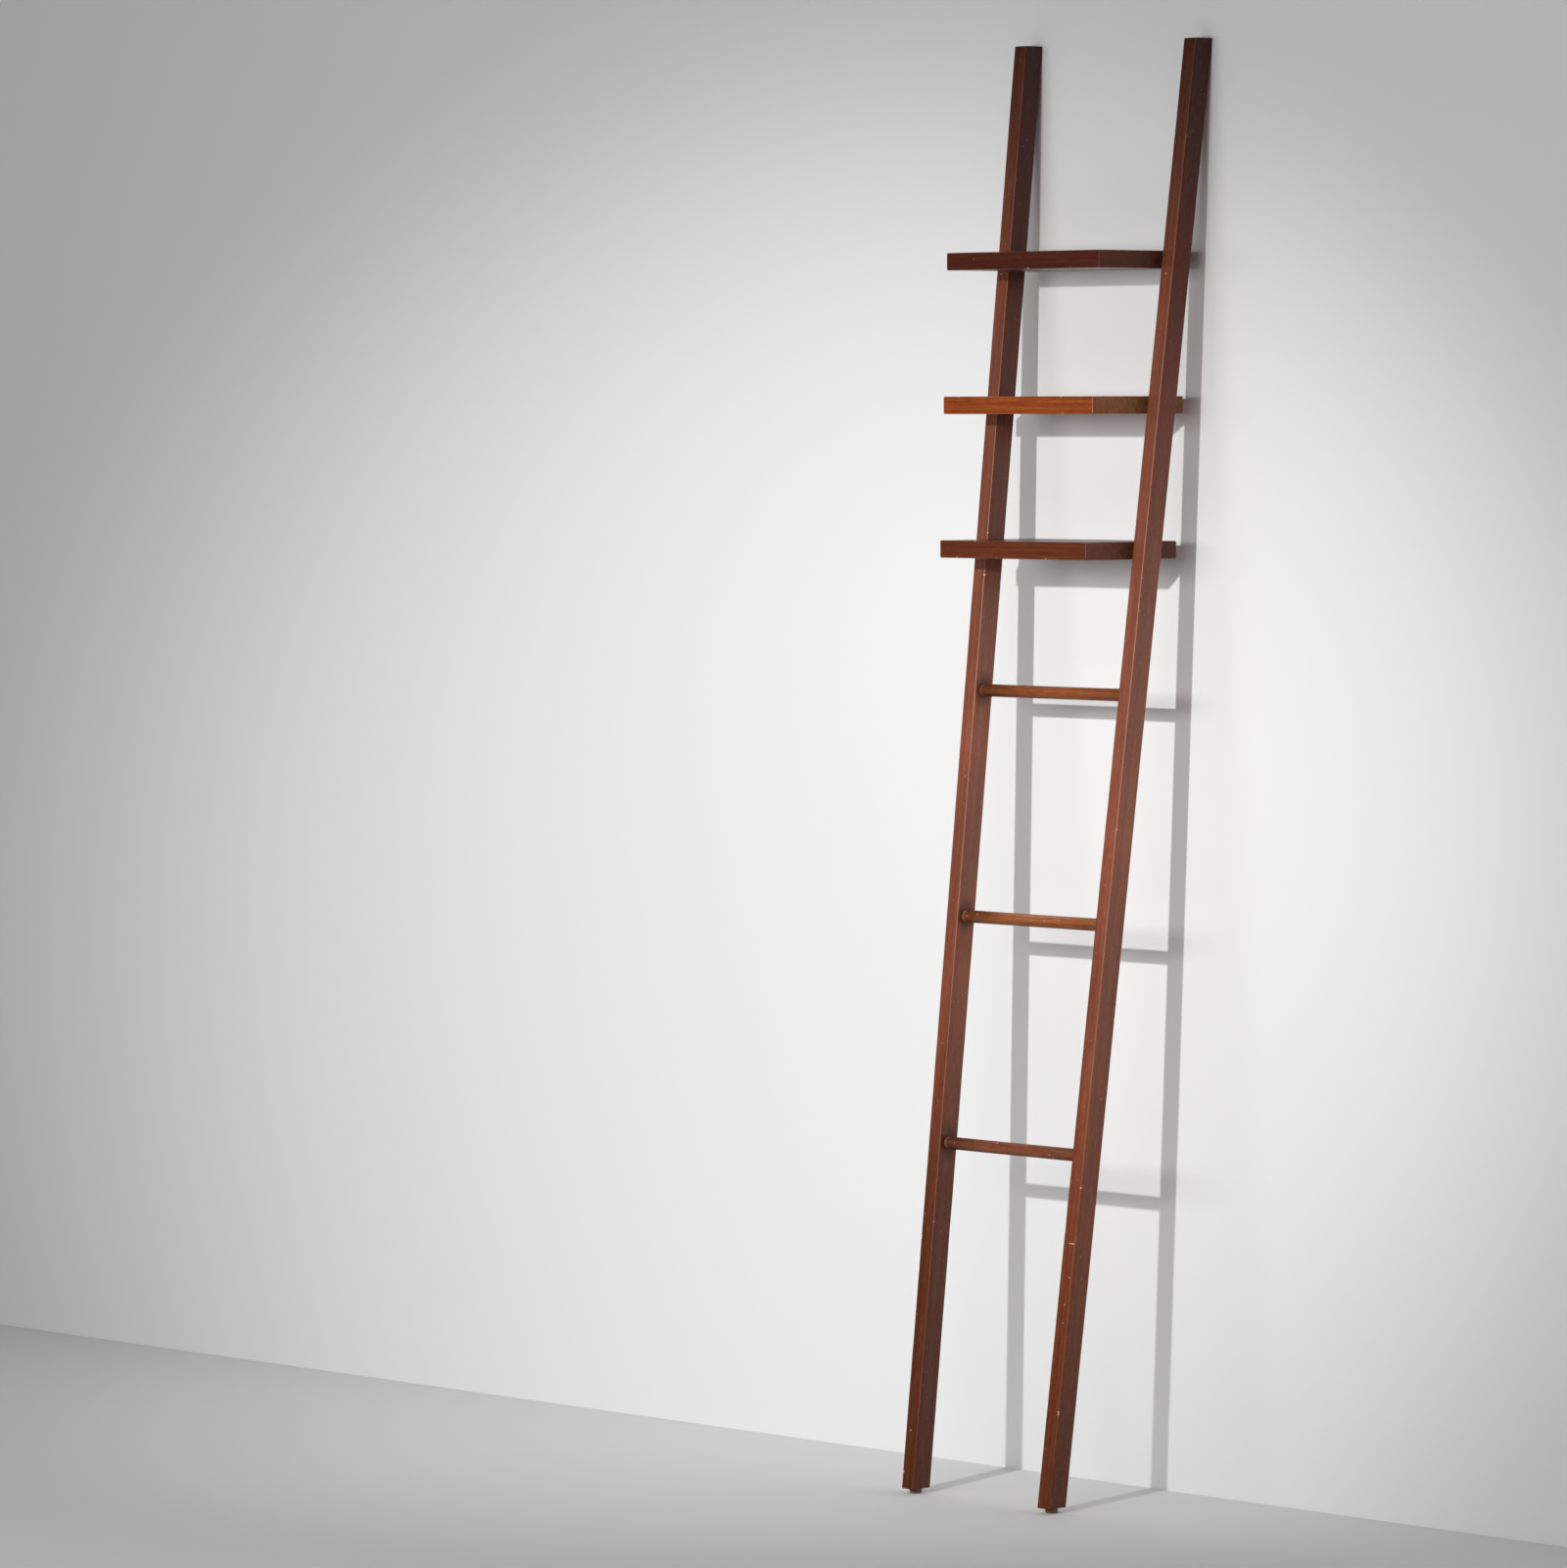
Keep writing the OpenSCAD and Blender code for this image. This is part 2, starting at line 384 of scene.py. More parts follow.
@dataclass(frozen=True)
class StainedHardwood:
    """Straight-grained mahogany, stained red-brown and rubbed down to a satin lacquer.

    To the eye: soft red and orange-brown streaks along the grain, short dark pores, a satin sheen,
    arrises rubbed to a thin tan line, and pale flecks where knocks went through the stain.
    """

    name: str
    stain: Stain = Stain()
    raw: str = "#e2c7ae"
    pores: str = "#2a0f08"
    sawn_end: str = "#743c26"
    # Colour of the painted sheen at mid height
    painted_sheen: str = "#9c8478"
    # The grain runs along Z of these axes
    grain: Matrix = field(default_factory=Matrix.Identity)
    grain_seed: float = 0.0
    # Width across X and Y, and length, of the broad bands and of the fine streaks
    band_mm: tuple[float, float, float] = (5.5, 8.0, 300.0)
    streak_mm: tuple[float, float, float] = (1.5, 1.9, 60.0)
    # Height above the floor to the stain's brightness there, or nothing for an even stain: the stain's
    # own lighter and darker patches, and a painted pool of lamp light that leaves the tops and the
    # feet dark
    stain_and_light_pool: tuple[tuple[float, float], ...] = ()
    roughness: float = 0.27
    # How strongly the lacquer mirrors: a half is glass-clear, less is rubbed and dry
    lacquer: float = 0.28
    # Painted shade: brightness of the faces that look along X, and of those that look down, beside the
    # others
    side_face_shade: float = 1.0
    underside_shade: float = 1.0
    # A piece with a light pool paints its sides instead: a greyish painted sheen low down, painted
    # shade high up, and the heights between
    side_sheen_tint: tuple[float, ...] = (1.1, 1.26, 1.3, 1)
    side_shade_tint: tuple[float, ...] = (0.58, 0.25, 0.13, 1)
    sheen_to_shade_z: tuple[float, float] = (1.34, 1.90)
    # Brightness left under the deepest painted shade in corners and round the joints
    joint_shade_tone: float = 0.34
    rub: float = 0.5
    speck_cell_mm: float = 15.0
    speck_mm: float = 1.0
    speck_share: float = 0.35
    scars: tuple[Spot, ...] = ()
    # Painted shade round the joints
    shaded_joints: tuple[Spot, ...] = ()

    def material(self) -> Material:
        """Builds the wood.

        Returns:
            The material.
        """
        s = Shading(self.name)
        place = s.place()
        axes = {"Location": self.grain.to_translation(), "Rotation": self.grain.to_euler()}
        own = s.add("Mapping", {"Vector": place, **axes}, vector_type="TEXTURE").outputs[0]
        point = s.combine(own, Vector((1.0, 1.7, 2.3)) * self.grain_seed, "ADD")
        streak = s.noise(point, self.streak_mm, 4, 0.62)
        colour = self._figure(s, point, streak)
        # Pores are drawn twice as wide as real ones, so that they show
        pore = s.remap(s.noise(point, (0.7, 0.7, 9), 1, 0.5), 0.60, 0.72)
        colour = s.blend(s.times(pore, 0.38), colour, self.pores)
        if self.stain_and_light_pool:
            # Paints the pool of lamp light, and the stain's own patches, by height
            colour = s.tint(colour, self._stain_and_light_pool(s, place))
            # Painted sheen: a greyish veil on the lacquer at mid height, for its reflection of the
            # bright wall
            height = s.axis(place, "Z")
            sheen_band = s.times(s.remap(height, 0.5, 1.1), s.remap(height, 2.4, 1.7))
            colour = s.blend(s.times(sheen_band, 0.07), colour, self.painted_sheen)
        colour = s.tint(colour, self._painted_shade(s, place, own))
        colour, worn = self._wear(s, point, colour)
        colour, bare = self._knocks(s, own, point, colour)
        gloss = s.noise(point, (9, 9, 40), 3)
        rough = s.remap(gloss, *NOISE_SPAN, self.roughness - 0.05, self.roughness + 0.08)
        rough = s.sum(rough, s.times(s.sum(worn, bare, "MAXIMUM"), 0.2))
        relief = s.sum(s.times(streak, 0.4), pore, "SUBTRACT")
        relief = s.sum(relief, s.times(bare, 2.5), "SUBTRACT")
        normal = s.bump(relief, 0.04, 0.7)
        lacquer = {"IOR": GLOSS_IOR, "Specular IOR Level": self.lacquer, "Normal": normal}
        return s.finish({"Base Color": colour, "Roughness": rough, **lacquer})

    def _figure(self, s: Shading, point: Socket, streak: Socket) -> Socket:
        """Mixes broad bands, streaks and mottle.

        Args:
            s: the material.
            point: the place in the grain's own axes.
            streak: fine streaks along the grain.

        Returns:
            The stained colour.
        """
        band = s.noise(point, self.band_mm, 3, 0.5)
        tone = s.sum(s.times(band, 0.55), s.times(streak, 0.45))
        ramp = s.add("ValToRGB", {0: tone})
        stops = ramp.color_ramp.elements
        stops[0].position, stops[1].position = 0.26, 0.48
        stops.new(0.72)
        for stop, hex_colour in zip(stops, (self.stain.deep, self.stain.red, self.stain.warm)):
            stop.color = linear_rgba(hex_colour)
        # Slow change of tone along the piece, and blotches a few centimetres long
        drift = s.remap(s.noise(point, (60, 60, 420), 2), *NOISE_SPAN, 0.90, 1.10)
        blotch = s.remap(s.noise(point, (3.5, 3.5, 15), 3, 0.6), *NOISE_SPAN, 0.85, 1.14)
        colour = s.tint(ramp.outputs[0], s.times(drift, blotch))
        # The quarter-sawn faces, which look along X, are plainer
        colour = s.blend(s.times(self._across(s), 0.4), colour, self.stain.red)
        # End grain takes the stain duller and browner
        return s.blend(s.times(s.mark(END_GRAIN), 0.33), colour, self.sawn_end)

    def _across(self, s: Shading) -> Socket:
        """Returns how squarely each place looks along X, either way."""
        return s.remap(s.sum(s.facing("X"), 2.0, "POWER"), 0.1, 0.9)

    def _stain_and_light_pool(self, s: Shading, place: Socket) -> Socket:
        """Sets the stain's brightness by height from the stops: its own patches, and a painted pool of
        lamp light, darkest at the tops and the feet; yellower at the feet.

        Args:
            s: the material.
            place: the place in the ladder's axes.

        Returns:
            The tone.
        """
        top = self.stain_and_light_pool[-1][0]
        ramp = s.add("ValToRGB", {0: s.sum(s.axis(place, "Z"), top, "DIVIDE")})
        stops = ramp.color_ramp.elements
        for index, (z, tone) in enumerate(self.stain_and_light_pool):
            stop = stops[index] if index < 2 else stops.new(z / top)
            stop.position = z / top
            low = max(0.0, 1 - z / 0.7)
            stop.color = (tone, tone * (1 - 0.12 * low), tone * (1 - 0.55 * low), 1)
        # The backs, turned to the wall, are left out of the painted pool of light and keep an even
        # tone
        back = s.remap(s.facing("Y"), 0.3, 0.9, 0.0, 0.75)
        return s.blend(back, ramp.outputs[0], (0.9, 0.9, 0.9, 1))

    def _reach(self, s: Shading, own: Socket, spot: Spot) -> Socket:
        """Measures how far each place is from a spot's middle.

        Args:
            s: the material.
            own: the place in the grain's own axes.
            spot: the spot.

        Returns:
            The distance, with 1 at the spot's rim.
        """
        away = s.combine(own, spot.at, "SUBTRACT")
        away = s.combine(away, [r * MM for r in spot.radii_mm], "DIVIDE")
        return s.add("VectorMath", {0: away}, operation="LENGTH").outputs["Value"]

    def _painted_shade(self, s: Shading, place: Socket, own: Socket) -> Socket:
        """Paints shade on the faces that look along X and down, sheen on the low sides of a piece with
        a light pool, and shade in corners and round the joints.

        Args:
            s: the material.
            place: the place in the ladder's axes.
            own: the place in the grain's own axes.

        Returns:
            The tone.
        """
        # Painted shade on the faces that look along X
        side = (self.side_face_shade, self.side_face_shade, self.side_face_shade, 1)
        if self.stain_and_light_pool:
            # Painted sheen on the sides low down, and painted shade above
            side = s.blend(s.remap(s.axis(place, "Z"), *self.sheen_to_shade_z), self.side_sheen_tint, self.side_shade_tint)
        tone = s.blend(self._across(s), WHITE, side)
        # Painted shade on the faces that look down
        under = s.remap(s.facing("Z"), -0.8, 0.45, self.underside_shade, 1.0)
        joint_shade = s.mark(JOINT_SHADE)
        for spot in self.shaded_joints:
            joint_shade = s.sum(joint_shade, s.remap(self._reach(s, own, spot), 1.0, 0.35), "MAXIMUM")
        return s.tint(tone, s.times(under, s.remap(joint_shade, 0, 1, 1.0, self.joint_shade_tone)))

    def _wear(self, s: Shading, point: Socket, colour: Socket) -> tuple[Socket, Socket]:
        """Rubs the stain off the arrises in patches.

        Args:
            s: the material.
            point: the place in the grain's own axes, shifted by the seed.
            colour: the wood's colour so far.

        Returns:
            The colour, and how worn each place is.
        """
        patch = s.remap(s.noise(point, (5, 5, 30), 4, 0.65), 0.35, 0.62, 0.35, 1.0)
        worn = s.times(s.remap(s.mark(WEAR), 0.5, 1.0), patch)
        return s.blend(s.times(worn, self.rub), colour, self.stain.rubbed), worn

    def _knocks(
        self, s: Shading, own: Socket, point: Socket, colour: Socket
    ) -> tuple[Socket, Socket]:
        """Adds pale flecks at random, the dented places and the chosen scars.

        Args:
            s: the material.
            own: the place in the grain's own axes.
            point: the same place, shifted by the seed.
            colour: the wood's colour so far.

        Returns:
            The colour, and how bare each place is.
        """
        cell = 1 / (MM * self.speck_cell_mm)
        cells = s.add("TexVoronoi", {"Vector": point, "Scale": cell}, feature="F1")
        radius = self.speck_mm / self.speck_cell_mm
        speck = s.remap(cells.outputs["Distance"], radius, radius * 0.4)
        lot = s.add("SeparateColor", {0: cells.outputs["Color"]})
        chosen = s.sum(lot.outputs[0], 1 - self.speck_share, "GREATER_THAN")
        bare = s.times(s.times(speck, chosen), s.remap(lot.outputs[1], 0, 1, 0.3, 0.9))
        bare = s.sum(bare, s.remap(s.mark(BARE), 0.35, 0.75), "MAXIMUM")
        for scar in self.scars:
            bare = s.sum(bare, s.remap(self._reach(s, own, scar), 1.0, 0.6), "MAXIMUM")
        return s.blend(bare, colour, self.raw), bare


@dataclass(frozen=True)
class MouldedPlastic:
    """Injection-moulded polyethylene: brown, waxy and matt, scuffed grey near the floor."""

    name: str
    colour: str = "#66503c"
    scuff: str = "#8a7567"

    def material(self) -> Material:
        """Builds the plastic.

        Returns:
            The material.
        """
        s = Shading(self.name)
        place = s.place()
        cloud = s.noise(place, (5, 5, 3), 4, 0.6)
        low = s.remap(s.axis(place, "Z"), 3.2 * MM, 0.3 * MM)
        scuffed = s.times(low, s.remap(cloud, 0.42, 0.62))
        colour = s.blend(scuffed, self.colour, self.scuff)
        colour = s.tint(colour, s.remap(cloud, *NOISE_SPAN, 0.85, 1.1))
        rough = s.remap(cloud, *NOISE_SPAN, 0.42, 0.58)
        bump = s.bump(s.noise(place, (0.25, 0.25, 0.25), 2), 0.02, 0.6)
        return s.finish({"Base Color": colour, "Roughness": rough, "IOR": GLOSS_IOR, "Normal": bump})


@dataclass(frozen=True)
class TurnedBeech:
    """Bare beech dowel: pale, with short darker ray flecks along the grain."""

    name: str
    colour: str = "#c9a677"
    fleck: str = "#9d7647"

    def material(self) -> Material:
        """Builds the beech, with its grain along X.

        Returns:
            The material.
        """
        s = Shading(self.name)
        place = s.place()
        fleck = s.remap(s.noise(place, (2.5, 0.5, 0.5), 2), 0.56, 0.68)
        drift = s.remap(s.noise(place, (60, 4, 4), 3), *NOISE_SPAN, 0.9, 1.08)
        colour = s.blend(s.times(fleck, 0.7), self.colour, self.fleck)
        colour = s.tint(colour, drift)
        return s.finish({"Base Color": colour, "Roughness": 0.62, "IOR": GLOSS_IOR})


@dataclass(frozen=True)
class DrawnSteel:
    """Bright drawn steel wire: fine lines along the nail, and a dull forged head."""

    name: str
    colour: str = "#a9abae"

    def material(self) -> Material:
        """Builds the steel, drawn along Z.

        Returns:
            The material.
        """
        s = Shading(self.name)
        line = s.noise(s.place(), (0.2, 0.2, 12), 2)
        colour = s.tint(self.colour, s.remap(line, *NOISE_SPAN, 0.85, 1.05))
        rough = s.remap(line, *NOISE_SPAN, 0.3, 0.48)
        return s.finish({"Base Color": colour, "Metallic": 1.0, "Roughness": rough})


# Mesh work that every wooden piece shares
# ----------------------------------------


def along_x(centre: Vector) -> Matrix:
    """Returns grain axes that run along the ladder's X, from the given place."""
    return Matrix.Translation(centre) @ Matrix.Rotation(math.pi / 2, 4, "Y")


def new_mesh() -> BMesh:
    """Makes an empty mesh that carries the finish's attributes.

    Returns:
        The mesh, which the caller frees.
    """
    bm = bmesh.new()
    for name in (WEAR, BARE, JOINT_SHADE):
        bm.verts.layers.float.new(name)
    bm.faces.layers.float.new(END_GRAIN)
    return bm


def new_bar(size: Sequence[float]) -> BMesh:
    """Makes a square-edged bar, centred on the origin.

    Args:
        size: its width, depth and length along X, Y and Z.

    Returns:
        A new mesh, which the caller frees.
    """
    bm = new_mesh()
    bmesh.ops.create_cube(bm, size=1.0)
    bmesh.ops.scale(bm, vec=Vector(size), verts=bm.verts)
    return bm


def spin_outline(
    bm: BMesh, outline: Sequence[tuple], axis: Sequence[float], facets: int
) -> None:
    """Turns an outline once round an axis through the origin.

    Args:
        bm: the mesh to add to.
        outline: the outline's points, from the axis and back to it.
        axis: the direction of the axis.
        facets: how many faces go round it.
    """
    verts = [bm.verts.new(point) for point in outline]
    edges = [bm.edges.new(pair) for pair in zip(verts, verts[1:])]
    bmesh.ops.spin(
        bm, geom=verts + edges, cent=(0, 0, 0), axis=axis, dvec=(0, 0, 0), angle=2 * math.pi,
        steps=facets, use_merge=True, use_duplicate=False,
    )
    bmesh.ops.remove_doubles(bm, verts=bm.verts, dist=WELD)


def ease(bm: BMesh, edges: Sequence[BMEdge], radius: float, steps: int) -> None:
    """Rounds the given edges over with a small radius.

    Args:
        bm: the mesh.
        edges: the edges to round.
        radius: the rounding's radius.
        steps: how many faces go round the curve.
    """
    bmesh.ops.bevel(
        bm, geom=list(edges), offset=radius, offset_type="OFFSET", affect="EDGES", segments=steps,
        profile=0.5, material=-1, clamp_overlap=True,
    )


def slice_at(bm: BMesh, point: Vector, normal: Vector, drop: bool = False) -> None:
    """Cuts the mesh by a plane.

    Args:
        bm: the mesh.
        point: a point on the plane.
        normal: the plane's normal.
        drop: removes what lies beyond the plane and closes the mesh there.
    """
    every = bm.verts[:] + bm.edges[:] + bm.faces[:]
    cut = bmesh.ops.bisect_plane(
        bm, geom=every, dist=ON_CUT, plane_co=point, plane_no=normal, clear_outer=drop
    )
    if drop:
        rim = [e for e in cut["geom_cut"] if isinstance(e, BMEdge)]
        bmesh.ops.holes_fill(bm, edges=rim, sides=0)


def finish_end(
    bm: BMesh, normal: Vector, radius: float, steps: int, near: float = LEVEL_FACE
) -> None:
    """Marks a sawn end as end grain, and rounds its rim over.

    Args:
        bm: the mesh.
        normal: which way the end looks.
        radius: the rounding's radius.
        steps: how many faces go round the curve.
        near: how near to that direction a face has to look.
    """
    bm.normal_update()
    end_grain = bm.faces.layers.float[END_GRAIN]
    faces = {f for f in bm.faces if f.normal.dot(normal) > near}
    for face in faces:
        face[end_grain] = 1.0
    rim = [e for e in bm.edges if len(faces.intersection(e.link_faces)) == 1]
    ease(bm, rim, radius, steps)


@dataclass(frozen=True)
class Dent:
    """A knock that pushed the wood in, and left it bare.

    at and inward are in the axes that the piece is built in.
    """

    at: Vector
    inward: Vector
    reach_mm: float
    depth_mm: float

    def press(self, bm: BMesh) -> None:
        """Moves the vertices in reach inwards, and marks them as bare.

        Args:
            bm: the mesh.
        """
        bare = bm.verts.layers.float[BARE]
        reach = self.reach_mm * MM
        push = self.inward.normalized() * self.depth_mm * MM
        for vert in bm.verts:
            near = 1 - ((vert.co - self.at).length / reach) ** 2
            if near > 0:
                vert.co += push * near**1.5
                vert[bare] = max(vert[bare], near)


def add_object(name: str, data: bpy.types.ID) -> Object:
    """Puts an object in the scene.

    Args:
        name: its name.
        data: its mesh, lamp or camera.

    Returns:
        The object.
    """
    item = bpy.data.objects.new(name, data)
    bpy.context.scene.collection.objects.link(item)
    return item


def add_mesh(bm: BMesh, name: str, material: Material) -> Object:
    """Puts a finished mesh in the scene.

    Args:
        bm: the mesh, which is freed.
        name: the object's name.
        material: its only material.

    Returns:
        The object.
    """
    mesh = bpy.data.meshes.new(name)
    bm.to_mesh(mesh)
    bm.free()
    mesh.materials.append(material)
    return add_object(name, mesh)


def make_piece(
    bm: BMesh, name: str, material: Material, flat: bool = True
) -> Object:
    """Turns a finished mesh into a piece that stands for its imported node.

    Args:
        bm: the mesh, which is freed.
        name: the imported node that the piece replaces; the piece is named after it.
        material: its finish.
        flat: keeps large flat faces flat beside their rounded edges.

    Returns:
        The piece, riding on the ladder.
    """
    bmesh.ops.recalc_face_normals(bm, faces=bm.faces)
    for face in bm.faces:
        face.smooth = True
    piece = add_mesh(bm, name + "_looks", material)
    piece.data.set_sharp_from_angle(angle=math.radians(SHARP_DEG))
    if flat:
        weighted = piece.modifiers.new("flat_faces", "WEIGHTED_NORMAL")
        weighted.keep_sharp = True
        weighted.weight = 100
    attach(piece, BODY)
    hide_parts(name)
    LOG.info("%s: %d faces", piece.name, len(piece.data.polygons))
    return piece


# Sub-assemblies
# --------------


@dataclass
class Stile(Named):
    """One leaning side rail: an eased bar, cut level at both ends and plumb at the wall."""

    kind = "stile"
    layout: Layout
    where: Side
    seed: int
    # Height to the stain's brightness there: its own patches, and a painted pool of lamp light
    stain_and_light_pool: tuple[tuple[float, float], ...]
    # Height, front or back arris (-1 or 1), inner or outer arris (-1 or 1), reach and depth in mm
    knocks: tuple[tuple[float, int, int, float, float], ...] = ()
    # Height, place across the front face (0 to 1 towards X), half width and half length in mm
    flecks: tuple[tuple[float, float, float, float], ...] = ()
    edge_radius: float = 2.0 * MM
    rim_radius: float = 0.9 * MM
    edge_steps: int = 4
    ring_gap: float = 14 * MM
    # What hands take off an arris, where its wear starts, and how far up the foot is worn
    rubbed_mm: float = 0.5
    wear_start: float = 0.9 * MM
    foot_wear: float = 1.2 * MM
    # Half size of the painted shade round a rung's joint: sideways, forwards and along the stile
    joint_shade_mm: tuple[float, float, float] = (7.0, 23.0, 32.0)
    # Long cuts, measured in from each arris
    lanes_mm: tuple[float, ...] = (3.2, 5.5)
    random_dents: int = 12

    @property
    def arris(self) -> tuple[float, float]:
        """Returns half the bar's width and half its depth."""
        return self.layout.stile_w / 2, self.layout.stile_d / 2

    def dents(self) -> list[Dent]:
        """Draws the seeded knocks, and adds them to the chosen ones.

        Returns:
            The dents, in the bar's own axes.
        """
        half_w, half_d = self.arris
        draw = random.Random(self.seed)
        along = 1 / math.cos(self.layout.lean)
        places = list(self.knocks)
        for _ in range(self.random_dents):
            low = draw.random() < 0.4
            z = draw.uniform(0.03, 0.5) if low else draw.uniform(0.5, self.layout.top_z - 0.02)
            front, outer = draw.choice((-1, -1, 1)), draw.choice((-1, 1))
            places.append((z, front, outer, draw.uniform(1.6, 3.0), draw.uniform(0.3, 0.6)))
        dents = []
        for z, front, outer, reach, depth in places:
            out_x = outer * self.where.value
            at = Vector((out_x * half_w, front * half_d, z * along))
            dents.append(Dent(at, Vector((-out_x, -front, 0)), reach, depth))
        return dents

    def build(self) -> Object:
        """Builds the stile and dresses it.

        Returns:
            The piece.
        """
        half_w, half_d = self.arris
        place = self.layout.stile_place(self.where)
        spare = 2 * self.layout.stile_d
        length = self.layout.top_z / math.cos(self.layout.lean) + 2 * spare
        bm = new_bar((self.layout.stile_w, self.layout.stile_d, length))
        bmesh.ops.translate(bm, vec=(0, 0, length / 2 - spare), verts=bm.verts)
        long_edges = [e for e in bm.edges if abs(e.verts[0].co.z - e.verts[1].co.z) > length / 2]
        ease(bm, long_edges, self.edge_radius, self.edge_steps)
        dents = self.dents()
        rings = [index * self.ring_gap for index in range(int(self.layout.top_z / self.ring_gap) + 3)]
        for dent in dents:
            reach = dent.reach_mm * MM
            rings += [dent.at.z + reach * part for part in (-1, -0.5, 0, 0.5, 1)]
        for z in sorted(rings):
            slice_at(bm, Vector((0, 0, z)), Vector((0, 0, 1)))
        for axis, half in ((Vector((1, 0, 0)), half_w), (Vector((0, 1, 0)), half_d)):
            for inset in self.lanes_mm:
                for out in (-1, 1):
                    slice_at(bm, axis * out * (half - inset * MM), axis)
        self._rub(bm)
        for dent in dents:
            dent.press(bm)
        bmesh.ops.transform(bm, matrix=place, verts=bm.verts)
        ends = ((self.layout.foot_z, -1), (self.layout.top_z, 1))
        for z, up in ends:
            slice_at(bm, Vector((0, 0, z)), Vector((0, 0, up)), drop=True)
        slice_at(bm, Vector((0, self.layout.wall_y, 0)), Vector((0, 1, 0)), drop=True)
        for _, up in ends:
            finish_end(bm, Vector((0, 0, up)), self.rim_radius, 3)
        self._mark_wear(bm, place.inverted())
        return make_piece(bm, self.name, self._finish(place).material())

    def _rub(self, bm: BMesh) -> None:
        """Varies the arrises along the bar, as hands and sanding leave them.

        Args:
            bm: the mesh, in the bar's own axes.
        """
        half_w, half_d = self.arris
        for vert in bm.verts:
            corner = Vector((math.copysign(half_w, vert.co.x), math.copysign(half_d, vert.co.y), 0))
            away = Vector((vert.co.x, vert.co.y, 0)) - corner
            hold = max(0.0, 1 - away.length / (1.6 * self.edge_radius))
            sway = noise.noise(Vector((corner.x * 900, corner.y * 900, vert.co.z * 26 + self.seed)))
            vert.co -= corner.normalized() * hold * (0.35 + 0.5 * sway) * self.rubbed_mm * MM

    def _mark_wear(self, bm: BMesh, to_own: Matrix) -> None:
        """Marks the arrises and the foot's rim as worn.

        Args:
            bm: the mesh, in the ladder's axes.
            to_own: the matrix back to the bar's own axes.
        """
        half_w, half_d = self.arris
        wear = bm.verts.layers.float[WEAR]
        for vert in bm.verts:
            own = to_own @ vert.co
            inset = math.hypot(half_w - abs(own.x), half_d - abs(own.y))
            arris = 1 - (inset - self.wear_start) / (self.edge_radius - self.wear_start)
            from_foot = abs(vert.co.z - self.layout.foot_z)
            vert[wear] = min(1.0, max(0.0, arris, 1 - from_foot / self.foot_wear))

    def _finish(self, place: Matrix) -> StainedHardwood:
        """Chooses the stile's wood.

        Args:
            place: the matrix from the bar's own axes to the ladder's.

        Returns:
            The finish, its grain along the bar.
        """
        half_w, half_d = self.arris
        scars = []
        for z, across, half_width, half_length in self.flecks:
            front = place.inverted() @ Vector((0, self.layout.stile_y(z) - half_d, z))
            at = ((2 * across - 1) * half_w, -half_d, front.z)
            scars.append(Spot(at, (half_width, 0.8, half_length)))
        # Painted shade round each rung's joint
        shaded_joints = []
        for level in Level:
            middle = box_centre(level.name.lower() + "_rung")
            inner = self.where.value * (self.layout.stile_x(middle.z) - half_w)
            at = place.inverted() @ Vector((inner, middle.y, middle.z))
            shaded_joints.append(Spot(tuple(at), self.joint_shade_mm))
        return StainedHardwood(
            name=f"mahogany_rubbed_lacquer_{self.name}",
            grain=place,
            grain_seed=0.31 * self.seed,
            stain_and_light_pool=self.stain_and_light_pool,
            scars=tuple(scars),
            shaded_joints=tuple(shaded_joints),
            rub=0.42,
            speck_cell_mm=11.0,
            speck_mm=0.9,
            speck_share=0.5,
        )


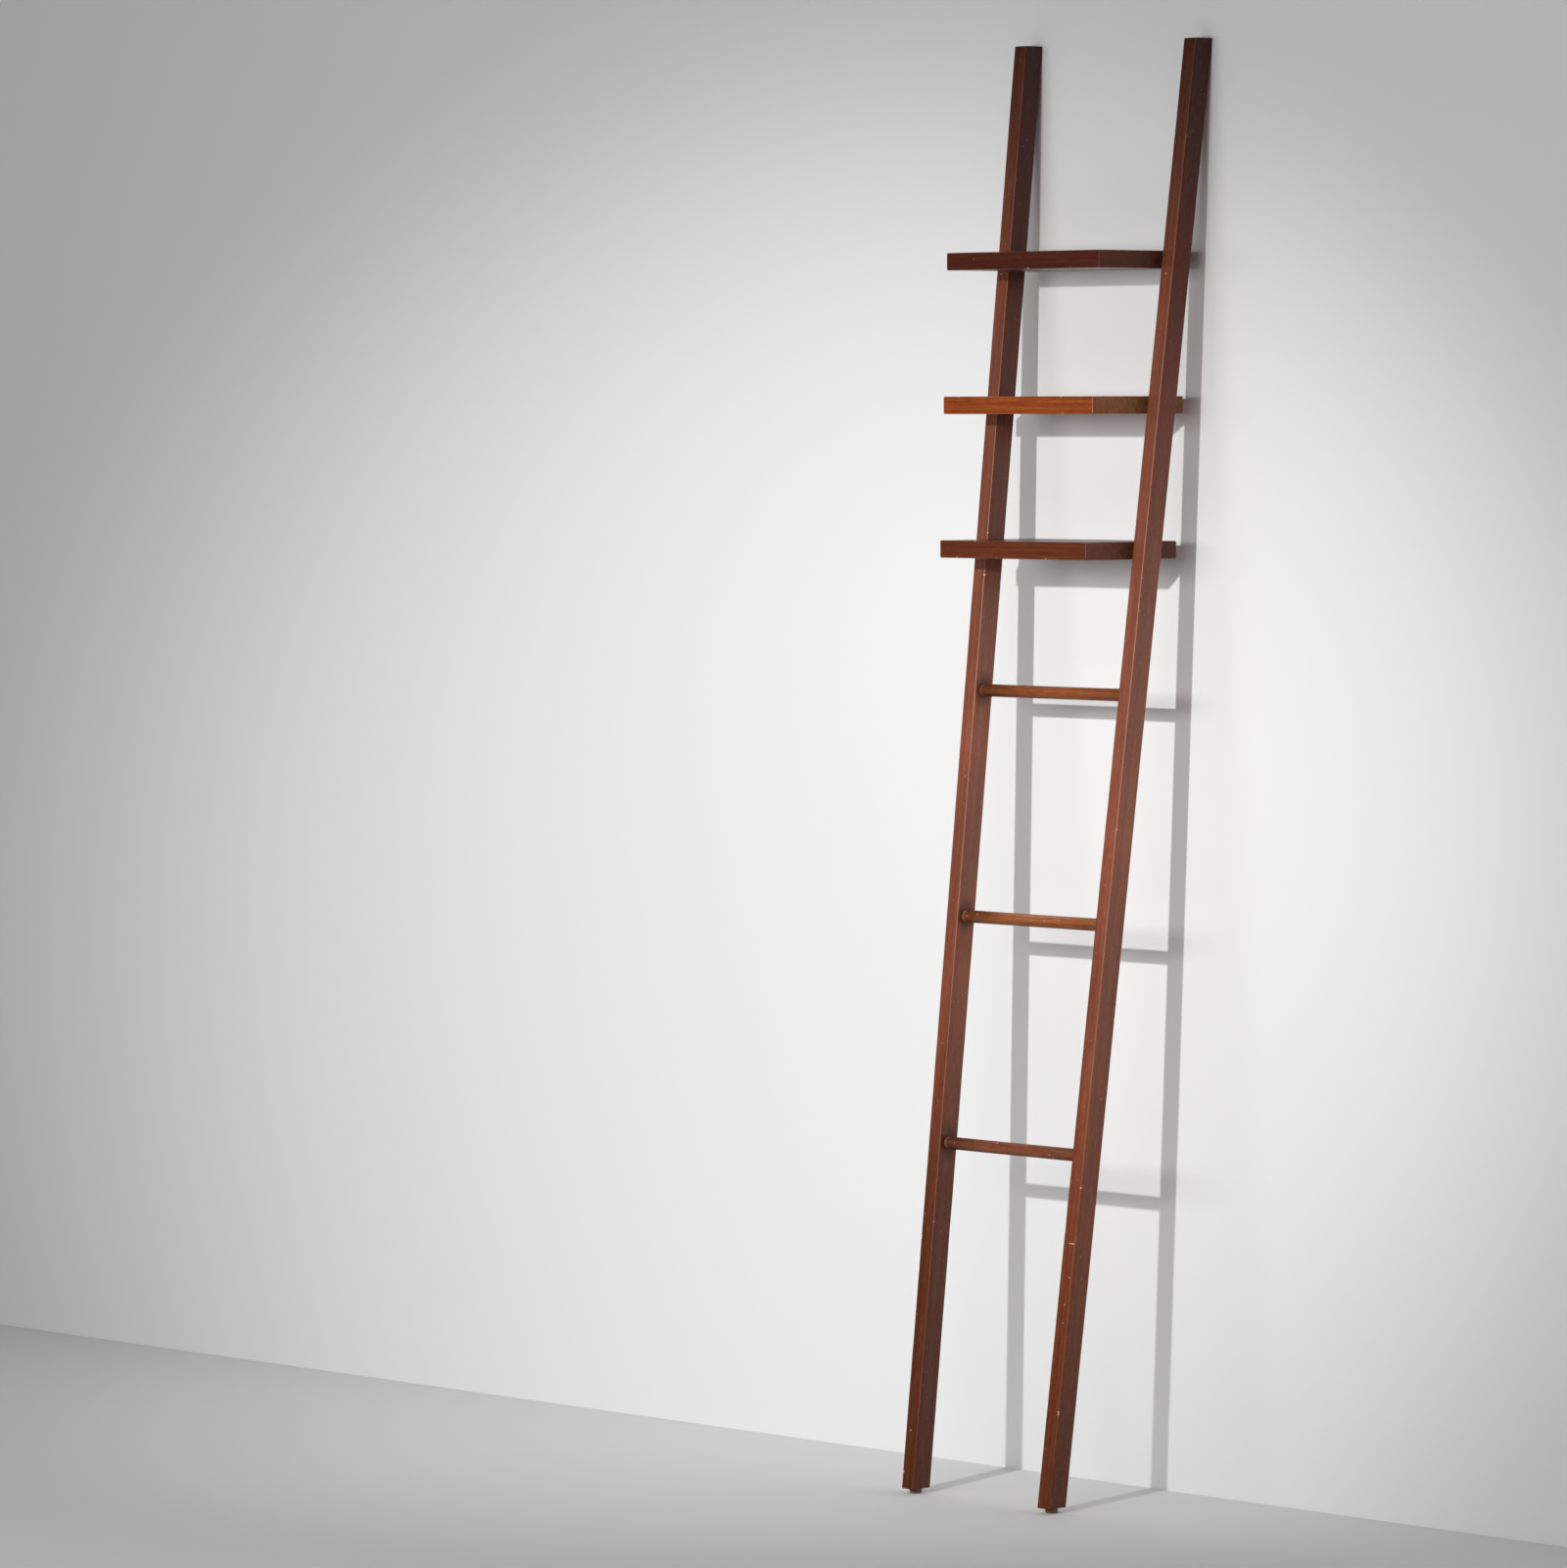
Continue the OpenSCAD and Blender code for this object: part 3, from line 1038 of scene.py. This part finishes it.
@dataclass
class Rung(Named):
    """One turned rung with rounded shoulders and a tenon on each end."""

    kind = "rung"
    layout: Layout
    where: Level
    seed: int
    stain: Stain
    # How strongly the tread is rubbed pale: real wear, which also paints a highlight along the upper
    # front
    tread_wear_and_highlight: float
    # Place along the rung, height above its middle, half length and half height in mm
    flecks: tuple[tuple[float, float, float, float], ...] = ()
    shoulder_radius: float = 1.2 * MM
    tenon_radius: float = 7 * MM
    tenon_length: float = 15 * MM
    ring_gap: float = 9 * MM
    # How much shoes take off the tread, and how unevenly the rest was turned
    trodden_mm: float = 0.35
    uneven_mm: float = 0.08
    # How far the painted shade reaches from the shoulders, and how much of it is at the right one
    shoulder_shade_length: float = 95 * MM
    right_shoulder_shade: float = 0.35

    def build(self) -> Object:
        """Turns the rung on its axis and dresses it.

        Returns:
            The piece.
        """
        low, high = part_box(self.name)
        centre = (low + high) / 2
        radius = (high.z - low.z) / 2
        shoulder = high.x - self.tenon_length - radius * self.layout.splay_run
        bm = new_mesh()
        tenon = self.tenon_radius
        outline = [(high.x, 0, 0), (high.x, 0, tenon), (shoulder, 0, tenon), (shoulder, 0, radius)]
        outline += [(-x, 0, r) for x, _, r in reversed(outline)]
        spin_outline(bm, outline, (1, 0, 0), FACETS)
        bmesh.ops.recalc_face_normals(bm, faces=bm.faces)
        circles = [
            e for e in bm.edges
            if all(abs(abs(v.co.x) - shoulder) < WELD for v in e.verts)
            and all(v.co.yz.length > radius - 10 * WELD for v in e.verts)
        ]
        ease(bm, circles, self.shoulder_radius, 3)
        count = int(2 * shoulder / self.ring_gap)
        for index in range(1, count):
            x = -shoulder + 2 * shoulder * index / count
            slice_at(bm, Vector((x, 0, 0)), Vector((1, 0, 0)))
        self._rub(bm, radius, shoulder)
        bmesh.ops.translate(bm, vec=centre, verts=bm.verts)
        wood = self._finish(centre, radius)
        return make_piece(bm, self.name, wood.material(), flat=False)

    def _rub(self, bm: BMesh, radius: float, shoulder: float) -> None:
        """Flattens the middle's upper front a little, where shoes tread, marks the wear there, which
        also paints a highlight along the upper front, and marks painted shade beside the shoulders.

        Args:
            bm: the mesh, centred on the rung's middle.
            radius: the rung's radius.
            shoulder: the distance from the middle to a shoulder.
        """
        wear, joint_shade = bm.verts.layers.float[WEAR], bm.verts.layers.float[JOINT_SHADE]
        tread = Vector((0, -0.45, 0.9)).normalized()
        for vert in bm.verts:
            away = Vector((0, vert.co.y, vert.co.z))
            if away.length < radius - 2 * MM:
                # The tenons stay as they were turned
                continue
            facing = max(0.0, away.normalized().dot(tread))
            middle = max(0.0, 1 - (abs(vert.co.x) / shoulder) ** 2)
            sway = noise.noise(Vector((vert.co.x * 22, away.y * 60, away.z * 60 + self.seed)))
            lost_mm = self.trodden_mm * facing**3 * middle + self.uneven_mm * (0.5 + sway)
            vert.co -= away.normalized() * lost_mm * MM
            from_shoulder, edge = shoulder - abs(vert.co.x), self.shoulder_radius
            ring = max(0.0, 1 - abs(from_shoulder - 0.9 * edge) / (2.0 * edge))
            # Tread wear, which also paints a highlight along the upper front, and the rubbed shoulder
            # rings
            vert[wear] = min(1.0, max(ring, self.tread_wear_and_highlight * facing**2 * middle**0.7))
            # Painted shade beside the shoulders, deeper at the left one
            share = 1.0 if vert.co.x < 0 else self.right_shoulder_shade
            vert[joint_shade] = share * max(0.0, 1 - from_shoulder / self.shoulder_shade_length) * (1 - ring)

    def _finish(self, centre: Vector, radius: float) -> StainedHardwood:
        """Chooses the rung's wood.

        Args:
            centre: the rung's middle.
            radius: its radius.

        Returns:
            The finish, its grain along X.
        """
        scars = []
        for along, up, half_length, half_height in self.flecks:
            at = (-up, -math.sqrt(max(0.0, radius**2 - up**2)), along)
            scars.append(Spot(at, (half_height, 0.9, half_length)))
        return StainedHardwood(
            name=f"mahogany_turned_{self.name}",
            stain=self.stain,
            grain=along_x(centre),
            grain_seed=0.47 * self.seed,
            band_mm=(7.0, 7.0, 170.0),
            streak_mm=(1.8, 1.8, 45.0),
            roughness=0.46,
            lacquer=0.12,
            underside_shade=0.65,
            rub=0.7,
            speck_share=0.6,
            scars=tuple(scars),
        )


@dataclass
class Shelf(Named):
    """One deep shelf: a board whose ends follow the splay, with eased edges."""

    kind = "shelf"
    layout: Layout
    where: Level
    seed: int
    stain: Stain
    edge_radius: float = 2.5 * MM
    end_radius: float = 1.0 * MM
    edge_steps: int = 4
    random_dents: int = 7
    # How far the wear reaches past an edge, and the painted shade in from an end and out from a stile
    edge_wear: float = 1.6 * MM
    joint_shade_in: float = 14 * MM
    joint_shade_out: float = 75 * MM

    def build(self) -> Object:
        """Cuts the board, eases its edges and dresses it.

        Returns:
            The piece.
        """
        low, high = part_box(self.name)
        centre, size = (low + high) / 2, high - low
        mid_width = size.x - size.z * self.layout.splay_run
        bm = new_bar((mid_width, size.y, size.z))
        for vert in bm.verts:
            vert.co.x += math.copysign(vert.co.z * self.layout.splay_run, vert.co.x)
        long_edges = [e for e in bm.edges if abs(e.verts[0].co.x - e.verts[1].co.x) > size.x / 2]
        ease(bm, long_edges, self.edge_radius, self.edge_steps)
        for out in (-1, 1):
            finish_end(bm, Vector((out, 0, 0)), self.end_radius, 2, near=0.99)
        dents = self.dents(size)
        self._cut_rings(bm, size, dents)
        for dent in dents:
            dent.press(bm)
        self._mark_wear(bm, size)
        bmesh.ops.translate(bm, vec=centre, verts=bm.verts)
        return make_piece(bm, self.name, self._finish(centre).material())

    def dents(self, size: Vector) -> list[Dent]:
        """Draws seeded knocks on the edges.

        Args:
            size: the board's width, depth and thickness.

        Returns:
            The dents, in the board's own axes.
        """
        draw = random.Random(self.seed)
        dents = []
        for _ in range(self.random_dents):
            along, edge = draw.uniform(-0.98, 0.98), draw.choice((-1, -1, 1))
            face = draw.choice((-1, 1))
            at = Vector((along * size.x / 2, edge * size.y / 2, face * size.z / 2))
            inward = Vector((-0.3 * along, -edge, -face))
            dents.append(Dent(at, inward, draw.uniform(1.6, 3.2), draw.uniform(0.3, 0.7)))
        return dents

    def _cut_rings(self, bm: BMesh, size: Vector, dents: Sequence[Dent]) -> None:
        """Cuts the board across its length and depth, close together near the corners.

        Args:
            bm: the mesh.
            size: the board's width, depth and thickness.
            dents: knocks that need cuts of their own.
        """
        near = (3.2, 5.5, 9, 18)
        for axis, span in ((0, size.x), (1, size.y)):
            half = span / 2
            stops = [side * (half - step * MM) for step in near for side in (-1, 1)]
            stops += [half * part / 8 for part in range(-6, 7)]
            normal = Vector((axis == 0, axis == 1, 0))
            for stop in sorted(stops):
                slice_at(bm, normal * stop, normal)
        for dent in dents:
            for part in (-0.7, 0, 0.7):
                slice_at(bm, dent.at + Vector((part * dent.reach_mm * MM, 0, 0)), Vector((1, 0, 0)))

    def _mark_wear(self, bm: BMesh, size: Vector) -> None:
        """Marks the edges and the end rims as worn, and paints shade on the ends beside the stiles.

        Args:
            bm: the mesh, in the board's own axes.
            size: the board's width, depth and thickness.
        """
        wear, joint_shade = bm.verts.layers.float[WEAR], bm.verts.layers.float[JOINT_SHADE]
        centre = box_centre(self.name)
        stile_half = self.layout.stile_d / 2 / math.cos(self.layout.lean)
        splay_run = self.layout.splay_run
        for vert in bm.verts:
            half_x = (size.x - size.z * splay_run) / 2 + vert.co.z * splay_run
            half = (half_x, size.y / 2, size.z / 2)
            gaps = [far - abs(at) for far, at in zip(half, vert.co)]
            inset = math.hypot(*sorted(gaps)[:2])
            vert[wear] = min(1.0, max(0.0, 1 - (inset - 0.6 * MM) / self.edge_wear))
            # Painted shade on the ends, darkest beside the stiles
            from_stile = abs(vert.co.y + centre.y - self.layout.stile_y(centre.z)) - stile_half
            near_end = max(0.0, 1 - gaps[0] / self.joint_shade_in)
            vert[joint_shade] = near_end * max(0.0, 1 - max(0.0, from_stile) / self.joint_shade_out)

    def _finish(self, centre: Vector) -> StainedHardwood:
        """Chooses the shelf's wood.

        Args:
            centre: the board's middle.

        Returns:
            The finish, flat-sawn, its grain along X.
        """
        return StainedHardwood(
            name=f"mahogany_board_{self.name}",
            stain=self.stain,
            grain=along_x(centre),
            grain_seed=0.63 * self.seed,
            band_mm=(4.0, 28.0, 330.0),
            streak_mm=(1.3, 7.0, 90.0),
            roughness=0.30,
            # Painted shade on the ends, which look along X
            side_face_shade=0.77,
            rub=0.72,
            lacquer=0.14,
        )


@dataclass
class Glide(Named):
    """One nail-on glide: a round button with a flange against the foot and a rounded sole."""

    kind = "glide"
    where: Side
    # The outline from under the sole up to the flange: how far in from the rim, and height
    profile_mm: tuple[tuple[float, float], ...] = (
        (5, 0.25), (4.4, 0), (2.6, 0), (1.3, 0.55), (0.5, 1.7), (0.1, 3.2), (0.05, 4.1), (0, 4.2),
        (0, 4.5), (0.05, 4.6),
    )
    # The rounding under the foot: how far in, and how far down
    shoulder_mm: tuple[float, float] = (0.5, 0.9)

    def build(self) -> Object:
        """Spins the glide's outline about its upright axis and dresses it.

        Returns:
            The piece.
        """
        low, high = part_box(self.name)
        centre, height, radius = (low + high) / 2, high.z - low.z, (high.x - low.x) / 2
        inset, drop = (v * MM for v in self.shoulder_mm)
        outline = [(0, 0, self.profile_mm[0][1] * MM)]
        outline += [(radius - step * MM, 0, z * MM) for step, z in self.profile_mm]
        outline += [(radius - 0.1 * MM, 0, height - drop), (radius - inset, 0, height), (0, 0, height)]
        bm = bmesh.new()
        spin_outline(bm, outline, (0, 0, 1), FACETS)
        bmesh.ops.translate(bm, vec=(centre.x, centre.y, low.z), verts=bm.verts)
        plastic = MouldedPlastic(f"polyethylene_moulded_{self.name}")
        return make_piece(bm, self.name, plastic.material(), flat=False)


@dataclass
class HiddenFixings:
    """The dowels in the shelf ends and the nails in the glides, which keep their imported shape."""

    beech: TurnedBeech = TurnedBeech("beech_turned")
    steel: DrawnSteel = DrawnSteel("steel_drawn")

    def dress(self) -> None:
        """Gives each packed dowel and nail its finish."""
        finishes = {"dowels": self.beech.material(), "nail": self.steel.material()}
        for name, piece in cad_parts.items():
            for kind, material in finishes.items():
                if name.endswith(kind):
                    piece.data.materials.clear()
                    piece.data.materials.append(material)
                    LOG.info("%s: dressed", name)


# Stage
# -----


@dataclass
class Studio:
    """A pale floor, the wall that the ladder leans on, a key lamp, a soft box and a dim surround."""

    layout: Layout
    floor_colour: str = "#eeeeee"
    wall_colour: str = "#ebebeb"
    reach: float = 9.0
    surround: float = 0.11
    surround_seen: float = 0.78
    # The key lamp: its place, what it is aimed at, its power in watts, its bulb's radius and its cone
    key_at: tuple[float, float, float] = (1.24, -4.70, 2.44)
    key_aim: tuple[float, float, float] = (-0.64, 0.16, 0.92)
    key_power: float = 620.0
    key_radius: float = 0.05
    key_cone: float = 33.4
    key_widen: float = 1.33
    # The wide soft box, level with the shelves, so that they cast no soft shadow
    box_at: tuple[float, float, float] = (0.2, -5.0, 2.0)
    box_aim: tuple[float, float, float] = (-0.3, 0.1, 1.0)
    box_power: float = 118.0
    box_size: tuple[float, float] = (6.4, 1.0)

    def build(self) -> None:
        """Builds the floor, the wall, the world and the lamps."""
        self._plane("floor", self.floor_colour, Matrix.Translation((0, 0, -0.2 * MM)), False)
        wall_y = self.layout.wall_y + 0.3 * MM
        upright = Matrix.Translation((0, wall_y, 0)) @ Matrix.Rotation(math.pi / 2, 4, "X")
        self._plane("wall", self.wall_colour, upright, True)
        self._light_world()
        key = self._lamp("key", "SPOT", self.key_at, self.key_aim, self.key_power)
        key.scale = (self.key_widen, 1, 1)
        key.data.shadow_soft_size = self.key_radius
        key.data.spot_size = math.radians(self.key_cone)
        key.data.spot_blend = 1.0
        box = self._lamp("soft_box", "AREA", self.box_at, self.box_aim, self.box_power)
        box.data.shape = "RECTANGLE"
        box.data.size, box.data.size_y = self.box_size

    def _plane(self, name: str, colour: str, place: Matrix, one_sided: bool) -> None:
        """Adds a painted plane.

        Args:
            name: its name.
            colour: its paint.
            place: where it lies, facing its own Z.
            one_sided: lets it be seen through from behind.
        """
        bm = bmesh.new()
        bmesh.ops.create_grid(bm, x_segments=1, y_segments=1, size=self.reach, matrix=place)
        s = Shading(name + "_paint")
        paint = s.add("BsdfDiffuse", {"Color": colour}).outputs[0]
        if one_sided:
            clear = s.add("BsdfTransparent").outputs[0]
            back = s.add("NewGeometry").outputs["Backfacing"]
            paint = s.add("MixShader", {0: back, 1: paint, 2: clear}).outputs[0]
        s.add("OutputMaterial", {0: paint})
        add_mesh(bm, name, s.material)

    def _light_world(self) -> None:
        """Sets an even surround: dim as a light, and pale to the camera."""
        world = bpy.data.worlds.new("soft_surround")
        world.use_nodes = True
        tree = world.node_tree
        tree.nodes.clear()
        camera_ray = add_node(tree, "LightPath").outputs["Is Camera Ray"]
        light = add_node(tree, "Background", {"Color": WHITE, "Strength": self.surround})
        seen = add_node(tree, "Background", {"Color": WHITE, "Strength": self.surround_seen})
        mix = add_node(tree, "MixShader", {0: camera_ray, 1: light.outputs[0], 2: seen.outputs[0]})
        add_node(tree, "OutputWorld", {0: mix.outputs[0]})
        bpy.context.scene.world = world

    def _lamp(
        self, name: str, kind: str, at: Sequence[float], aim: Sequence[float], power: float
    ) -> Object:
        """Hangs a lamp.

        Args:
            name: its name.
            kind: its type of light.
            at: where it hangs.
            aim: what it points at.
            power: its power, in watts.

        Returns:
            The lamp's object.
        """
        lamp = add_object(name, bpy.data.lights.new(name, kind))
        lamp.data.energy = power
        lamp.location = at
        lamp.rotation_euler = (Vector(aim) - Vector(at)).to_track_quat("-Z", "Y").to_euler()
        lamp.visible_camera = False
        return lamp


@dataclass
class Viewpoint:
    """The camera: a long lens, to the ladder's right, a little above its middle."""

    azimuth: float = 46.96
    pitch: float = 2.85
    roll: float = -0.13
    distance: float = 11.939
    # How far the ladder's middle stands to the right of the lens's axis, and above it
    right: float = 0.4128
    above: float = 0.0218
    lens_mm: float = 175.4
    sensor_mm: float = 36.0

    def build(self) -> None:
        """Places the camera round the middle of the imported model's box."""
        turn = Euler((math.radians(90 - self.pitch), 0, math.radians(self.azimuth)))
        axes = turn.to_matrix() @ Matrix.Rotation(math.radians(self.roll), 3, "Z")
        rightward, upward, backward = axes.col
        middle = (CAD_BOX[0] + CAD_BOX[1]) / 2
        aim = middle - rightward * self.right - upward * self.above
        camera = add_object("camera", bpy.data.cameras.new("camera"))
        camera.data.lens = self.lens_mm
        camera.data.sensor_width = self.sensor_mm
        camera.location = aim + backward * self.distance
        camera.rotation_euler = axes.to_euler()
        bpy.context.scene.camera = camera


def main() -> None:
    """Builds the ladder's looks, the stage and the camera, in order."""
    logging.basicConfig(level=logging.INFO, format="%(name)s %(message)s")
    layout = Layout.measure()
    LOG.info("layout %s", layout)
    Viewpoint().build()
    # Painted light: a pool of lamp light on the stain, darkest at the tops and the feet and brightest
    # at mid height, with the stain's own patches along it
    heights = (0.00, 0.12, 0.46, 0.66, 0.81, 1.04, 1.18, 1.40, 1.61, 1.84, 2.03, 2.275)
    left_pool_tones = (0.34, 0.36, 0.42, 0.66, 0.82, 0.76, 0.98, 0.74, 0.62, 0.66, 0.50, 0.30)
    right_pool_tones = (0.46, 0.52, 0.76, 0.78, 0.74, 0.99, 0.84, 0.86, 0.80, 0.72, 0.54, 0.29)
    left_flecks = (
        (1.948, 0.42, 0.9, 1.6), (1.917, 0.38, 0.8, 1.5), (0.037, 0.10, 1.4, 2.4),
        (0.102, 0.42, 1.0, 1.6),
    )
    right_flecks = (
        (1.913, 0.43, 1.0, 1.8), (0.418, 0.72, 8.0, 0.8), (0.366, 0.79, 1.0, 1.4),
        (0.324, 0.61, 0.9, 1.6), (0.296, 0.60, 0.8, 1.2),
    )
    right_knocks = ((1.939, -1, -1, 3.2, 0.6), (1.930, -1, -1, 2.2, 0.4))
    left_stain_and_light_pool, right_stain_and_light_pool = tuple(zip(heights, left_pool_tones)), tuple(zip(heights, right_pool_tones))
    Stile(layout, Side.LEFT, 3, left_stain_and_light_pool, flecks=left_flecks).build()
    Stile(layout, Side.RIGHT, 8, right_stain_and_light_pool, right_knocks, right_flecks).build()
    for side in Side:
        Glide(side).build()
    rosy = Stain("#4d2719", "#7c4630", "#985f45", "#bb8d74")
    tan = Stain("#693820", "#935431", "#ad7048", "#d2a27e")
    amber = Stain("#6e3820", "#8d4c2a", "#a36439", "#c58e60")
    lower_flecks = ((-0.031, 0.008, 2.2, 1.6), (0.087, -0.003, 1.3, 0.8))
    middle_flecks = (
        (-0.140, 0.0015, 1.2, 0.8), (-0.118, 0.005, 1.2, 0.7), (0.032, 0.0015, 1.0, 0.8),
    )
    Rung(layout, Level.LOWER, 5, rosy, 0.55, lower_flecks).build()
    Rung(layout, Level.MIDDLE, 9, tan, 0.75, middle_flecks).build()
    Rung(layout, Level.UPPER, 2, amber, 0.45).build()
    Shelf(layout, Level.LOWER, 4, Stain("#442012", "#5c2b17", "#713a22", "#8d5c46")).build()
    Shelf(layout, Level.MIDDLE, 6, Stain("#58220d", "#853c18", "#aa5d28", "#c08a58")).build()
    Shelf(layout, Level.UPPER, 7, Stain("#3a170f", "#4c2014", "#5f2c1a", "#764633")).build()
    HiddenFixings().dress()
    Studio(layout).build()
    bpy.context.scene.view_settings.view_transform = "Standard"


if __name__ == "__main__":
    main()
